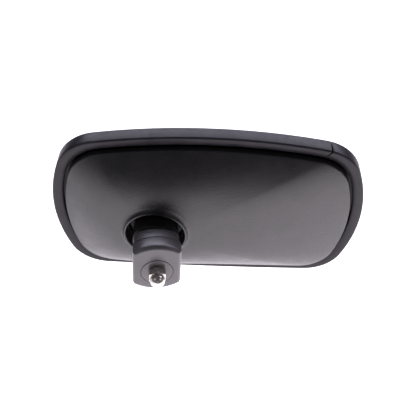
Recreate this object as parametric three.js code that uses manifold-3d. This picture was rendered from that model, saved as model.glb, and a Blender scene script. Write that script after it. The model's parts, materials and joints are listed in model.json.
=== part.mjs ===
// Interior rear-view mirror: a convex head that swivels on a friction dome, held by a two-jaw arm clamp.
// Millimetres, +Z up. The glass looks towards -Y and the clamp stands behind the head, towards +Y.
// The origin is the middle of the clamp's arm bore, which runs along X; the clamp bolt runs along Y.
// The head's own frame has the same directions, with its origin in the middle of the rim's front.

import * as THREE from 'three';
import { mergeVertices } from 'three/addons/utils/BufferGeometryUtils.js';
import Module from 'manifold-3d';

const wasm = await Module();
wasm.setup();

// Clearance kept between neighbouring pieces
const GAP = 0.3;

// Mirror head outline: a rounded rectangle whose four sides are shallow arcs
const HEAD_WIDTH = 250.9;
const HEAD_HEIGHT = 151.4;
const LONG_SIDE_RADIUS = 740;
const SHORT_SIDE_RADIUS = 136;
const CORNER_RADIUS = 35;
const GLASS_BULGE_RADIUS = 1160;

// Rubber rim: a U-shaped section that grips the glass and the shell's edge
const RIM_DEPTH = 12.8;
const RIM_WALL = 2;
const RIM_FRONT_LIP = 2.2;
const RIM_FRONT_LIP_WIDTH = 5.5;
const RIM_BACK_LIP = 4;
const RIM_BACK_LIP_WIDTH = 8.4;
const RIM_BACK_LIP_DROP = 1.4;
const RIM_ROUNDING = 1.7;
const RIM_JOINT_X = -88;
const RIM_JOINT_TURN = -25;
const RIM_JOINT_Z = 98;
const CORNER_EASE = 7;

// Layers behind the rim's front lip
const GLASS_THICKNESS = 3;
const GLASS_FRONT = RIM_FRONT_LIP + GAP;
const FILM_THICKNESS = 0.4;
const FILM_FRONT = GLASS_FRONT + GLASS_THICKNESS + GAP;
const SHELL_FLANGE_FRONT = FILM_FRONT + FILM_THICKNESS + GAP;
const SHELL_FLANGE_BACK = RIM_DEPTH - RIM_BACK_LIP - GAP;
const PAD_THICKNESS = 1;
const CARRIER_FRONT = SHELL_FLANGE_FRONT + PAD_THICKNESS + GAP;
const CARRIER_THICKNESS = 2.5;
const CARRIER_INSET = 14;

// Rear shell: a low side wall with a rounded edge, then a curved slope up to the round mouth of the swivel
const MOUTH_X = 40.4;
const MOUTH_RADIUS = 23.3;
const MOUTH_DEPTH = 46;
const MOUTH_EDGE = 1.8;
const FLARE_RADIUS = 3.6;
const FLARE_MIDDLE = 0.3;
const WALL_INSET = 11;
const WALL_STRETCH = 1.03;
const WALL_TOP = 16;
const WALL_ROUNDING = 1.2;
const SLOPE_POWER = 1.75;
const SHELL_THICKNESS = 2.2;
const COLLAR_DEPTH = 33;
const COLLAR_TAPER = 0.9;

// Swivel: a hollow dome on a post, fixed to the carrier plate
const DOME_DEPTH = 49;
const DOME_RADIUS = 17.5;
const DOME_THICKNESS = 2.5;
const DOME_OPENING_ANGLE = 35;
const POST_STEP_DEPTH = 30;
const POST_STEP_RADIUS = 21.7;
const POST_STEP_LIP = 1;
const POST_STEP_LIP_HEIGHT = 1.6;
const POST_BODY_RADIUS = 24;
const FOOT_RADIUS = 33;
const FOOT_DEPTH = 13.3;
const FOOT_THICKNESS = 3;
const POST_WALL = 2;

// Pieces stacked on the clamp bolt inside the dome, measured from the dome's centre
const CUP_LINER_THICKNESS = 0.8;
const CUP_LINER_ANGLE = 78;
const CUP_ANGLE = 60;
const CUP_POCKET_RADIUS = 8.6;
const CUP_POCKET_TOP = 10.4;
const SPRING_RADIUS = 8;
const SPRING_THICKNESS = 0.8;
const SPRING_CONE = 0.4;
const BOLT_HEAD_WIDTH = 13;
const BOLT_HEAD_HEIGHT = 5.3;
const BOLT_RADIUS = 4;
const BOLT_HOLE_RADIUS = BOLT_RADIUS + GAP;
const SEAT_LINER_THICKNESS = 1;
const SEAT_LINER_HOLE_ANGLE = 20;

// Clamp: two jaws that close on the mirror arm
const JAW_HALF_WIDTH = 17.9;
const INNER_JAW_HALF_WIDTH = 16.7;
const ARM_BORE_RADIUS = 6;
const BOLT_BELOW_BORE = 13.5;
const JAW_TOP = 25 - BOLT_BELOW_BORE;
const JAW_BOTTOM = -19 - BOLT_BELOW_BORE;
const JAW_ARC_RADIUS = 30;
const INNER_JAW_DEPTH = 9.5;
const OUTER_JAW_DEPTH = 11.8;
const JAW_FILLET = 3.3;
const JAW_BACK_ROUNDING = 2;
const JAW_TOP_CORNER = 1.2;
const JAW_BOTTOM_CORNER = 3.5;
const SEAM_CHAMFER = 0.3;
const SEAT_STANDOFF = 14.9;
const PEG_X = 11.5;
const PEG_Z = -24;
const PEG_RADIUS = 2;
const PEG_HEIGHT = 4.5;

// Nut side of the clamp
const DISC_RADIUS = 11.9;
const DISC_RECESS_RADIUS = DISC_RADIUS + GAP;
const DISC_RECESS_DEPTH = 6;
const DISC_PROUD = 0.3;
const WASHER_THICKNESS = 1.5;
const WASHER_RADIUS = 11.5;
const NUT_WIDTH = 12;
const NUT_HEX_HEIGHT = 6;
const NUT_HEIGHT = 13.5;
const NUT_DOME_RADIUS = 5.6;
const NUT_BORE_DEPTH = 10.5;
const BOLT_END_IN_NUT = 9;

// Screws
const DOME_SCREW_CIRCLE = 28.3;
const SCREW_RADIUS = 1.75;
const SCREW_HEAD_RADIUS = 3.6;
const SCREW_HEAD_HEIGHT = 2.2;
const SCREW_SLOT_WIDTH = 0.9;
const SCREW_SLOT_LENGTH = 4;
const SHELL_SCREW_LENGTH = 7;
const DOME_SCREW_LENGTH = 6.4;
const SHELL_BOSS_RADIUS = 4.2;
const SCREW_PAD_RADIUS = 6;
const SCREW_PAD_THICKNESS = 5;
const SHELL_SCREW_PLACES = [[90, 34], [-92, 34], [-92, -34], [90, -34]];

// Head pose on the dome, in degrees: roll about Y, then pitch about X, then yaw about Z
const HEAD_ROLL = 3;
const HEAD_PITCH = -6;
const HEAD_YAW = -7.7;

// Steps along each quarter of an outline, and around a turned piece
const SHORT_SIDE_STEPS = 2;
const CORNER_STEPS = 6;
const LONG_SIDE_STEPS = 4;
const ROUND_STEPS = 24;
const SMALL_ROUND_STEPS = 12;

const DOME_CENTRE = new THREE.Vector3(0, -INNER_JAW_DEPTH - SEAT_STANDOFF, -BOLT_BELOW_BORE);

const radians = THREE.MathUtils.degToRad;

// Materials

const plastic = (name, color, roughness) => (
  new THREE.MeshStandardMaterial({ name, color, roughness, metalness: 0 })
);
const metal = (name, color, roughness) => (
  new THREE.MeshStandardMaterial({ name, color, roughness, metalness: 1 })
);
const shellPlastic = plastic('textured_shell_plastic', 0x3b3a3f, 0.6);
const clampPlastic = plastic('clamp_plastic', 0x46464e, 0.5);
const domePlastic = plastic('gloss_dome_plastic', 0x0c0d0d, 0.15);
const carrierPlastic = plastic('carrier_plastic', 0x222224, 0.6);
const linerPlastic = plastic('liner_nylon', 0x1a1a1c, 0.4);
const rimRubber = plastic('rim_rubber', 0x4c4a56, 0.7);
const foam = plastic('foam_pad', 0x2c2c2e, 0.95);
const film = plastic('safety_film', 0x8d9095, 0.5);
const mirror = metal('mirror_glass', 0xdfe3e6, 0.03);
const stainless = metal('stainless_steel', 0xc9c5c0, 0.2);
const zincSteel = metal('zinc_plated_steel', 0xa9a9a6, 0.35);
const springSteel = metal('spring_steel', 0x55565a, 0.4);

// Curves and rings

// Points on an arc, its first end included and its last end left out
function arc(centre, radius, from, to, steps) {
  return Array.from({ length: steps }, (_, step) => {
    const angle = from + (to - from) * step / steps;
    return new THREE.Vector2(centre.x + radius * Math.cos(angle), centre.y + radius * Math.sin(angle));
  });
}

// Where two circles meet, on the side to the left of the way from the first centre to the second
function circlesMeet(first, firstRadius, second, secondRadius) {
  const way = second.clone().sub(first);
  const apart = way.length();
  const along = (firstRadius ** 2 - secondRadius ** 2 + apart ** 2) / (2 * apart);
  const across = Math.sqrt(firstRadius ** 2 - along ** 2);
  const unit = way.divideScalar(apart);
  const left = new THREE.Vector2(-unit.y, unit.x);
  return first.clone().addScaledVector(unit, along).addScaledVector(left, across);
}

// The head's outline moved inwards, anticlockwise in X and Z, always with the same number of points.
// The corners of the inner outlines are rounder than a plain offset.
function headOutline(inset) {
  const halfWidth = HEAD_WIDTH / 2 - inset;
  const halfHeight = HEAD_HEIGHT / 2 - inset;
  const longRadius = LONG_SIDE_RADIUS - inset;
  const shortRadius = SHORT_SIDE_RADIUS - inset;
  const cornerRadius = CORNER_RADIUS - inset + CORNER_EASE * Math.min(1, inset / RIM_BACK_LIP_WIDTH);
  const longCentre = new THREE.Vector2(0, halfHeight - longRadius);
  const shortCentre = new THREE.Vector2(halfWidth - shortRadius, 0);
  const corner = circlesMeet(shortCentre, shortRadius - cornerRadius, longCentre, longRadius - cornerRadius);
  const shortEnd = corner.clone().sub(shortCentre).angle();
  const longStart = corner.clone().sub(longCentre).angle();
  const quarter = [
    ...arc(shortCentre, shortRadius, 0, shortEnd, SHORT_SIDE_STEPS),
    ...arc(corner, cornerRadius, shortEnd, longStart, CORNER_STEPS),
    ...arc(longCentre, longRadius, longStart, Math.PI / 2, LONG_SIDE_STEPS),
    new THREE.Vector2(0, halfHeight),
  ];
  return fullOutline(quarter);
}

// A whole outline from its quarter, which runs from the X axis to the Z axis
function fullOutline(quarter) {
  const mirrored = (signX, signZ) => quarter.map((point) => (
    new THREE.Vector2(signX * point.x, signZ * point.y)
  ));
  const leaveLast = (points) => points.slice(0, -1);
  return [
    ...leaveLast(mirrored(1, 1)),
    ...leaveLast(mirrored(-1, 1).reverse()),
    ...leaveLast(mirrored(-1, -1)),
    ...leaveLast(mirrored(1, -1).reverse()),
  ];
}

// How far the bulged glass surface falls back from its middle
function bulge(x, z) {
  return (x * x + z * z) / (2 * GLASS_BULGE_RADIUS);
}

// A ring of the head, lying at a depth behind the bulged front surface, shrunk or made taller
function headRing(inset, depth, shrink = 1, stretch = 1) {
  return headOutline(inset).map((point) => {
    const x = point.x * shrink;
    const z = point.y * shrink * stretch;
    return new THREE.Vector3(x, depth + bulge(x, z), z);
  });
}

// A level ring round the mouth's axis, each point on the way from the axis to the head's outline
function mouthRing(radius, depth) {
  return headOutline(WALL_INSET).map((point) => {
    const way = new THREE.Vector2(point.x - MOUTH_X, point.y).normalize();
    return new THREE.Vector3(MOUTH_X + way.x * radius, depth, way.y * radius);
  });
}

// Solids

// Swaps each triangle's winding if the closed body is inside out
function facingOut(geometry) {
  const position = geometry.getAttribute('position');
  const index = geometry.getIndex();
  const corners = [new THREE.Vector3(), new THREE.Vector3(), new THREE.Vector3()];
  let volume = 0;
  for (let first = 0; first < index.count; first += 3) {
    corners.forEach((corner, offset) => corner.fromBufferAttribute(position, index.getX(first + offset)));
    volume += corners[0].dot(corners[1].clone().cross(corners[2]));
  }
  if (volume < 0) {
    for (let first = 0; first < index.count; first += 3) {
      const second = index.getX(first + 1);
      index.setX(first + 1, index.getX(first + 2));
      index.setX(first + 2, second);
    }
  }
  return geometry;
}

// A closed body over rings of equal length. With two end points the ends close on them,
// and without them the last ring joins the first.
function loft(rings, ends = []) {
  const count = rings[0].length;
  const points = [...rings.flat(), ...ends];
  const triangles = [];
  const joined = ends.length ? rings.length - 1 : rings.length;
  for (let ring = 0; ring < joined; ring += 1) {
    const near = ring * count;
    const far = ((ring + 1) % rings.length) * count;
    for (let step = 0; step < count; step += 1) {
      const next = (step + 1) % count;
      triangles.push(near + step, near + next, far + next, near + step, far + next, far + step);
    }
  }
  if (ends.length) {
    const start = rings.length * count;
    const last = start - count;
    for (let step = 0; step < count; step += 1) {
      const next = (step + 1) % count;
      triangles.push(start, next, step, start + 1, last + step, last + next);
    }
  }
  const geometry = new THREE.BufferGeometry().setFromPoints(points);
  geometry.setIndex(triangles);
  return facingOut(geometry);
}

// A turned piece about the Y axis from its closed section of [radius, y] points
function turned(section, steps = ROUND_STEPS) {
  const points = section.map(([radius, y]) => new THREE.Vector2(radius, y));
  return welded(new THREE.LatheGeometry([...points, points[0]], steps));
}

// Section points on a circle about the origin, angles in degrees away from the +Y axis
function domeArc(radius, from, to, steps) {
  return Array.from({ length: steps + 1 }, (_, step) => {
    const angle = radians(from + (to - from) * step / steps);
    return [radius * Math.sin(angle), radius * Math.cos(angle)];
  });
}

function cylinder(radius, from, to, steps = SMALL_ROUND_STEPS) {
  return turned([[0, from], [radius, from], [radius, to], [0, to]], steps);
}

// A hexagonal bar along Y, its corners up and down
function hexagon(acrossFlats, from, to) {
  const radius = acrossFlats / Math.sqrt(3);
  const bar = new THREE.CylinderGeometry(radius, radius, to - from, 6);
  return welded(bar.translate(0, (from + to) / 2, 0));
}

// Shared vertices merged and empty triangles dropped, so that a boolean can use the mesh
function welded(geometry) {
  geometry.deleteAttribute('normal');
  geometry.deleteAttribute('uv');
  const merged = mergeVertices(geometry, 1e-4);
  const index = Array.from(merged.getIndex().array);
  const kept = [];
  for (let first = 0; first < index.length; first += 3) {
    const [a, b, c] = index.slice(first, first + 3);
    if (a !== b && b !== c && c !== a) {
      kept.push(a, b, c);
    }
  }
  merged.setIndex(kept);
  return facingOut(merged);
}

function solid(geometry) {
  return new wasm.Manifold(new wasm.Mesh({
    numProp: 3,
    vertProperties: new Float32Array(geometry.getAttribute('position').array),
    triVerts: new Uint32Array(geometry.getIndex().array),
  }));
}

function geometryOf(manifold) {
  const mesh = manifold.getMesh();
  const geometry = new THREE.BufferGeometry();
  geometry.setAttribute('position', new THREE.BufferAttribute(mesh.vertProperties, 3));
  geometry.setIndex(new THREE.BufferAttribute(mesh.triVerts, 1));
  return geometry;
}

// The body with each of the other pieces cut out of it
function cut(body, ...tools) {
  return geometryOf(tools.reduce((rest, tool) => rest.subtract(solid(tool)), solid(body)));
}

// Head pieces

// A plate that follows the glass curve, between two depths
function curvedPlate(inset, front, back) {
  const shrinks = [0.34, 0.67, 1];
  const frontRings = shrinks.map((shrink) => headRing(inset, front, shrink));
  const backRings = shrinks.map((shrink) => headRing(inset, back, shrink)).reverse();
  const ends = [new THREE.Vector3(0, front, 0), new THREE.Vector3(0, back, 0)];
  return loft([...frontRings, ...backRings], ends);
}

function mirrorGlass() {
  return curvedPlate(RIM_WALL + GAP, GLASS_FRONT, GLASS_FRONT + GLASS_THICKNESS);
}

function safetyFilm() {
  return curvedPlate(RIM_WALL + GAP, FILM_FRONT, FILM_FRONT + FILM_THICKNESS);
}

function foamPad() {
  return curvedPlate(CARRIER_INSET, SHELL_FLANGE_FRONT, SHELL_FLANGE_FRONT + PAD_THICKNESS);
}

// The rim's section goes round the U, and the rubber strip is cut where its two ends meet
function rubberRim() {
  const half = RIM_ROUNDING * (1 - Math.SQRT1_2);
  const lipEnd = RIM_DEPTH - RIM_BACK_LIP_DROP;
  const lipMiddle = [RIM_BACK_LIP_WIDTH * 0.7, RIM_DEPTH - RIM_BACK_LIP_DROP * 0.25];
  const section = [
    [RIM_FRONT_LIP_WIDTH, 0],
    [RIM_ROUNDING, 0],
    [half, half],
    [0, RIM_ROUNDING],
    [0, RIM_DEPTH - RIM_ROUNDING],
    [half, RIM_DEPTH - half],
    [RIM_ROUNDING, RIM_DEPTH],
    [2 * RIM_ROUNDING, RIM_DEPTH],
    lipMiddle,
    [RIM_BACK_LIP_WIDTH - half, lipEnd],
    [RIM_BACK_LIP_WIDTH, lipEnd - half],
    [RIM_BACK_LIP_WIDTH, RIM_DEPTH - RIM_BACK_LIP],
    [RIM_WALL, RIM_DEPTH - RIM_BACK_LIP],
    [RIM_WALL, RIM_FRONT_LIP],
    [RIM_FRONT_LIP_WIDTH, RIM_FRONT_LIP],
  ];
  const strip = loft(section.map(([inset, depth]) => headRing(inset, depth)));
  const joint = new THREE.BoxGeometry(GAP, 4 * RIM_DEPTH, HEAD_HEIGHT / 2);
  joint.rotateY(radians(RIM_JOINT_TURN));
  joint.translate(RIM_JOINT_X, 0, RIM_JOINT_Z);
  return cut(strip, welded(joint));
}

// The shell's skin, moved inwards by an offset: its rings from the side wall's foot up to the mouth
function shellSkin(offset) {
  const inset = WALL_INSET + offset;
  const rings = [headRing(inset, SHELL_FLANGE_BACK, 1, WALL_STRETCH)];
  const wall = headRing(inset, WALL_TOP - offset, 1, WALL_STRETCH);
  const flareFoot = mouthRing(MOUTH_RADIUS + MOUTH_EDGE + FLARE_RADIUS, MOUTH_DEPTH - FLARE_RADIUS - offset);
  [0, 0.5, 1].forEach((share) => {
    rings.push(wall.map((point, step) => {
      const across = flareFoot[step].clone().sub(point);
      const rise = across.y;
      const run = across.setY(0).length();
      const turn = share * (Math.PI / 2 - Math.atan(SLOPE_POWER * rise / run));
      const inwards = across.setLength(WALL_ROUNDING * (1 - Math.cos(turn)));
      return point.clone().add(inwards).add(new THREE.Vector3(0, WALL_ROUNDING * Math.sin(turn), 0));
    }));
  });
  const edge = rings[rings.length - 1];
  [0.18, 0.38, 0.6, 0.8].forEach((share) => {
    const climb = 1 - (1 - share) ** SLOPE_POWER;
    rings.push(edge.map((point, step) => new THREE.Vector3(
      THREE.MathUtils.lerp(point.x, flareFoot[step].x, share),
      THREE.MathUtils.lerp(point.y, flareFoot[step].y, climb),
      THREE.MathUtils.lerp(point.z, flareFoot[step].z, share),
    )));
  });
  rings.push(flareFoot);
  return rings;
}

function rearShell() {
  const outer = shellSkin(0);
  const inner = shellSkin(SHELL_THICKNESS);
  const edge = MOUTH_RADIUS + MOUTH_EDGE;
  const collarOutside = edge - COLLAR_TAPER + SHELL_THICKNESS / 2;
  const skin = loft([
    headRing(RIM_WALL + GAP, SHELL_FLANGE_FRONT),
    headRing(RIM_WALL + GAP, SHELL_FLANGE_BACK),
    ...outer,
    mouthRing(edge + FLARE_RADIUS * FLARE_MIDDLE, MOUTH_DEPTH - FLARE_RADIUS * (1 - FLARE_MIDDLE)),
    mouthRing(edge, MOUTH_DEPTH - MOUTH_EDGE / 2),
    mouthRing((edge + MOUTH_RADIUS) / 2, MOUTH_DEPTH),
    mouthRing(MOUTH_RADIUS, MOUTH_DEPTH - MOUTH_EDGE / 2),
    mouthRing(MOUTH_RADIUS - COLLAR_TAPER, COLLAR_DEPTH),
    mouthRing(collarOutside, COLLAR_DEPTH),
    ...inner.reverse(),
    headRing(WALL_INSET + SHELL_THICKNESS, SHELL_FLANGE_FRONT, 1, WALL_STRETCH),
  ]);
  const middle = shellSkin(SHELL_THICKNESS / 2);
  const bossRoom = solid(loft(
    [headRing(WALL_INSET + SHELL_THICKNESS / 2, 0, 1, WALL_STRETCH), ...middle],
    [new THREE.Vector3(0, 0, 0), new THREE.Vector3(MOUTH_X, MOUTH_DEPTH, 0)],
  ));
  const shell = SHELL_SCREW_PLACES.reduce((body, [x, z]) => {
    const seat = screwPadBack(x, z) + GAP;
    const boss = cylinder(SHELL_BOSS_RADIUS, seat, MOUTH_DEPTH).translate(x, 0, z);
    const pilot = cylinder(SCREW_RADIUS + GAP, seat - 1, seat + SHELL_SCREW_LENGTH - GAP).translate(x, 0, z);
    return body.add(solid(boss).intersect(bossRoom)).subtract(solid(pilot));
  }, solid(skin));
  return geometryOf(shell);
}

// Depth of the flat back of a screw pad on the carrier plate
function screwPadBack(x, z) {
  return CARRIER_FRONT + bulge(x, z) + SCREW_PAD_THICKNESS;
}

// The four places of the screws round the dome's foot
function domeScrewPlaces() {
  return [45, 135, 225, 315].map((angle) => [
    MOUTH_X + DOME_SCREW_CIRCLE * Math.cos(radians(angle)),
    DOME_SCREW_CIRCLE * Math.sin(radians(angle)),
  ]);
}

// A curved plate with a flat seat for the dome's foot and four pads for the shell's screws
function carrierPlate() {
  let plate = solid(curvedPlate(CARRIER_INSET, CARRIER_FRONT, CARRIER_FRONT + CARRIER_THICKNESS));
  const seatFront = CARRIER_FRONT + CARRIER_THICKNESS / 2 + bulge(MOUTH_X + FOOT_RADIUS, 0);
  const seat = cylinder(FOOT_RADIUS, seatFront, FOOT_DEPTH - GAP, ROUND_STEPS).translate(MOUTH_X, 0, 0);
  plate = plate.add(solid(seat));
  domeScrewPlaces().forEach(([x, z]) => {
    const depth = FOOT_DEPTH + FOOT_THICKNESS + GAP - DOME_SCREW_LENGTH - GAP;
    plate = plate.subtract(solid(cylinder(SCREW_RADIUS + GAP, depth, FOOT_DEPTH).translate(x, 0, z)));
  });
  SHELL_SCREW_PLACES.forEach(([x, z]) => {
    const back = screwPadBack(x, z);
    const front = back - SCREW_PAD_THICKNESS;
    const headRoom = front + SCREW_HEAD_HEIGHT + 2 * GAP;
    const padFront = front + CARRIER_THICKNESS / 2;
    plate = plate.add(solid(cylinder(SCREW_PAD_RADIUS, padFront, back).translate(x, 0, z)));
    plate = plate.subtract(solid(cylinder(SCREW_HEAD_RADIUS + GAP, front - 1, headRoom).translate(x, 0, z)));
    plate = plate.subtract(solid(cylinder(SCREW_RADIUS + GAP, front, back + 1).translate(x, 0, z)));
  });
  return geometryOf(plate);
}

// The hollow dome, its post with a stepped collar, and the foot that is screwed to the carrier plate
function swivelDome() {
  const inside = DOME_RADIUS - DOME_THICKNESS;
  const fromCentre = (depth) => depth - DOME_DEPTH;
  const step = fromCentre(POST_STEP_DEPTH);
  const foot = fromCentre(FOOT_DEPTH);
  const stepUnder = step - 2 * POST_WALL;
  const body = turned([
    ...domeArc(DOME_RADIUS, DOME_OPENING_ANGLE, 90, 5),
    [DOME_RADIUS, step],
    [POST_STEP_RADIUS - POST_STEP_LIP, step],
    [POST_STEP_RADIUS - POST_STEP_LIP, step + POST_STEP_LIP_HEIGHT],
    [POST_STEP_RADIUS, step + POST_STEP_LIP_HEIGHT],
    [POST_STEP_RADIUS, step - POST_WALL],
    [POST_BODY_RADIUS, step - POST_WALL],
    [POST_BODY_RADIUS, foot + FOOT_THICKNESS],
    [FOOT_RADIUS, foot + FOOT_THICKNESS],
    [FOOT_RADIUS, foot],
    [POST_BODY_RADIUS - POST_WALL, foot],
    [POST_BODY_RADIUS - POST_WALL, stepUnder],
    [inside + POST_WALL, stepUnder],
    [inside + POST_WALL, foot],
    [inside, foot],
    ...domeArc(inside, 90, DOME_OPENING_ANGLE, 4),
  ]);
  const placed = body.translate(MOUTH_X, DOME_DEPTH, 0);
  const holes = domeScrewPlaces().map(([x, z]) => (
    cylinder(SCREW_RADIUS + GAP, FOOT_DEPTH - 1, FOOT_DEPTH + FOOT_THICKNESS + 1).translate(x, 0, z)
  ));
  return cut(placed, ...holes);
}

// A pan-head screw along Y. The shank runs from y = 0 towards +Y and the head sits on its other side.
function panScrew(length) {
  const body = turned([
    [0, -SCREW_HEAD_HEIGHT],
    [SCREW_HEAD_RADIUS * 0.7, -SCREW_HEAD_HEIGHT],
    [SCREW_HEAD_RADIUS, -SCREW_HEAD_HEIGHT / 2],
    [SCREW_HEAD_RADIUS, 0],
    [SCREW_RADIUS, 0],
    [SCREW_RADIUS, length - SCREW_RADIUS],
    [SCREW_RADIUS * 0.3, length],
    [0, length],
  ], SMALL_ROUND_STEPS);
  const slot = (width, height) => {
    const bar = new THREE.BoxGeometry(width, SCREW_HEAD_HEIGHT, height);
    return welded(bar.translate(0, -SCREW_HEAD_HEIGHT, 0));
  };
  return cut(body, slot(SCREW_SLOT_LENGTH, SCREW_SLOT_WIDTH), slot(SCREW_SLOT_WIDTH, SCREW_SLOT_LENGTH));
}

// Pieces on the bolt inside the dome, about the dome's centre

function cupLiner() {
  const outside = DOME_RADIUS - DOME_THICKNESS - GAP;
  return turned([
    ...domeArc(outside, DOME_OPENING_ANGLE, CUP_LINER_ANGLE, 4),
    ...domeArc(outside - CUP_LINER_THICKNESS, CUP_LINER_ANGLE, DOME_OPENING_ANGLE, 4),
  ]);
}

function pressureCup() {
  const outside = DOME_RADIUS - DOME_THICKNESS - CUP_LINER_THICKNESS - 2 * GAP;
  const holeAngle = THREE.MathUtils.radToDeg(Math.asin(BOLT_HOLE_RADIUS / outside));
  const edge = outside * Math.cos(radians(CUP_ANGLE));
  return turned([
    ...domeArc(outside, holeAngle, CUP_ANGLE, 5),
    [CUP_POCKET_RADIUS, edge],
    [CUP_POCKET_RADIUS, CUP_POCKET_TOP],
    [BOLT_HOLE_RADIUS, CUP_POCKET_TOP],
  ]);
}

// A cone-shaped disc spring whose top is at the given height, wide side up or down
function discSpring(top, wideUp) {
  const atHole = wideUp ? -SPRING_CONE : 0;
  const atEdge = wideUp ? 0 : -SPRING_CONE;
  return turned([
    [BOLT_HOLE_RADIUS, top + atHole],
    [SPRING_RADIUS, top + atEdge],
    [SPRING_RADIUS, top + atEdge - SPRING_THICKNESS],
    [BOLT_HOLE_RADIUS, top + atHole - SPRING_THICKNESS],
  ], SMALL_ROUND_STEPS);
}

function seatLiner() {
  const inside = DOME_RADIUS + GAP;
  const outside = inside + SEAT_LINER_THICKNESS;
  const edgeAngle = THREE.MathUtils.radToDeg(Math.acos((SEAT_STANDOFF - GAP) / outside));
  return turned([
    ...domeArc(outside, SEAT_LINER_HOLE_ANGLE, edgeAngle, 3),
    ...domeArc(inside, edgeAngle, SEAT_LINER_HOLE_ANGLE, 3),
  ]);
}

// Heights on the bolt above the dome's centre
const SPRING_TOPS = [
  CUP_POCKET_TOP - GAP,
  CUP_POCKET_TOP - SPRING_CONE - SPRING_THICKNESS - 2 * GAP,
];
const BOLT_HEAD_TOP = SPRING_TOPS[1] - SPRING_CONE - SPRING_THICKNESS - GAP;
const DISC_BACK = OUTER_JAW_DEPTH + DISC_PROUD;
const NUT_SEAT = DISC_BACK + GAP;

// Hexagon-head bolt, from its head inside the dome to its end inside the cap nut
function clampBolt() {
  const end = NUT_SEAT + BOLT_END_IN_NUT - DOME_CENTRE.y;
  const head = hexagon(BOLT_HEAD_WIDTH, BOLT_HEAD_TOP - BOLT_HEAD_HEIGHT, BOLT_HEAD_TOP);
  const shank = turned([
    [0, BOLT_HEAD_TOP - 1],
    [BOLT_RADIUS, BOLT_HEAD_TOP - 1],
    [BOLT_RADIUS, end - 1],
    [BOLT_RADIUS - 1, end],
    [0, end],
  ], SMALL_ROUND_STEPS);
  return geometryOf(solid(head).add(solid(shank)));
}

// Clamp pieces

// The jaws' outline about the arm bore, moved inwards: arched top and bottom, straight sides, round corners
function jawOutline(halfWidth, inset) {
  const side = halfWidth - inset;
  const arcRadius = JAW_ARC_RADIUS - inset;
  const corner = (end, round, up) => {
    const arcCentre = new THREE.Vector2(0, end - up * arcRadius);
    const roundX = side - round;
    const roundZ = arcCentre.y + up * Math.sqrt((arcRadius - round) ** 2 - roundX ** 2);
    const roundCentre = new THREE.Vector2(roundX, roundZ);
    const meet = Math.atan2(up * (roundZ - arcCentre.y), roundX);
    return [
      ...arc(roundCentre, round, 0, up * meet, 4),
      ...arc(arcCentre, arcRadius, up * meet, up * Math.PI / 2, 5),
      new THREE.Vector2(0, end),
    ];
  };
  const top = corner(JAW_TOP - inset, Math.max(JAW_TOP_CORNER, inset + 0.4) - inset, 1);
  const bottom = corner(JAW_BOTTOM + inset, Math.max(JAW_BOTTOM_CORNER - inset, 0.4), -1);
  const flip = (points) => points.map((point) => new THREE.Vector2(-point.x, point.y));
  return [
    ...top.slice(0, -1),
    ...flip(top).reverse(),
    ...flip(bottom).slice(0, -1),
    ...bottom.reverse(),
  ];
}

// A block between [y, inset] levels along the bolt
function jawBlock(halfWidth, levels) {
  const rings = levels.map(([y, inset]) => (
    jawOutline(halfWidth, inset).map((point) => new THREE.Vector3(point.x, y, point.y))
  ));
  const middle = (JAW_TOP + JAW_BOTTOM) / 2;
  const ends = [levels[0][0], levels[levels.length - 1][0]].map((y) => new THREE.Vector3(0, y, middle));
  return loft(rings, ends);
}

// The cylinder of the mirror arm, and the bolt's hole, as cutting tools
function armBore() {
  return cylinder(ARM_BORE_RADIUS, -2 * JAW_HALF_WIDTH, 2 * JAW_HALF_WIDTH, ROUND_STEPS).rotateZ(Math.PI / 2);
}

function boltHole() {
  const reach = 2 * OUTER_JAW_DEPTH;
  return cylinder(BOLT_HOLE_RADIUS, -reach, reach).translate(0, 0, -BOLT_BELOW_BORE);
}

function pegs(radius, to) {
  return [-PEG_X, PEG_X].map((x) => cylinder(radius, -1, to).translate(x, 0, PEG_Z));
}

function innerJaw() {
  const rounding = [90, 60, 30, 0].map((turn) => [
    -INNER_JAW_DEPTH + JAW_BACK_ROUNDING * (1 - Math.sin(radians(turn))),
    JAW_BACK_ROUNDING * (1 - Math.cos(radians(turn))),
  ]);
  const block = jawBlock(INNER_JAW_HALF_WIDTH, [
    ...rounding,
    [-GAP / 2 - SEAM_CHAMFER, 0],
    [-GAP / 2, SEAM_CHAMFER],
  ]);
  const seatRadius = DOME_RADIUS + SEAT_LINER_THICKNESS + 2 * GAP;
  const seat = turned([[0, -seatRadius], ...domeArc(seatRadius, 180, 0, 20)]);
  seat.translate(DOME_CENTRE.x, DOME_CENTRE.y, DOME_CENTRE.z);
  const blank = pegs(PEG_RADIUS, PEG_HEIGHT).reduce((body, peg) => body.add(solid(peg)), solid(block));
  return cut(geometryOf(blank), seat, armBore(), boltHole());
}

function outerJaw() {
  const fillet = [0, 30, 60, 90].map((turn) => [
    OUTER_JAW_DEPTH - JAW_FILLET + JAW_FILLET * Math.sin(radians(turn)),
    JAW_FILLET * (1 - Math.cos(radians(turn))),
  ]);
  const block = jawBlock(JAW_HALF_WIDTH, [
    [GAP / 2, SEAM_CHAMFER],
    [GAP / 2 + SEAM_CHAMFER, 0],
    ...fillet,
  ]);
  const recessFloor = OUTER_JAW_DEPTH - DISC_RECESS_DEPTH;
  const recess = cylinder(DISC_RECESS_RADIUS, recessFloor, OUTER_JAW_DEPTH + 1, ROUND_STEPS);
  recess.translate(0, 0, -BOLT_BELOW_BORE);
  return cut(block, armBore(), boltHole(), recess, ...pegs(PEG_RADIUS + GAP, PEG_HEIGHT + GAP));
}

// Nut side, about the bolt's axis

function jawWasher() {
  const from = OUTER_JAW_DEPTH - DISC_RECESS_DEPTH + GAP;
  return turned([
    [BOLT_HOLE_RADIUS, from],
    [WASHER_RADIUS, from],
    [WASHER_RADIUS, from + WASHER_THICKNESS],
    [BOLT_HOLE_RADIUS, from + WASHER_THICKNESS],
  ]);
}

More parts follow.
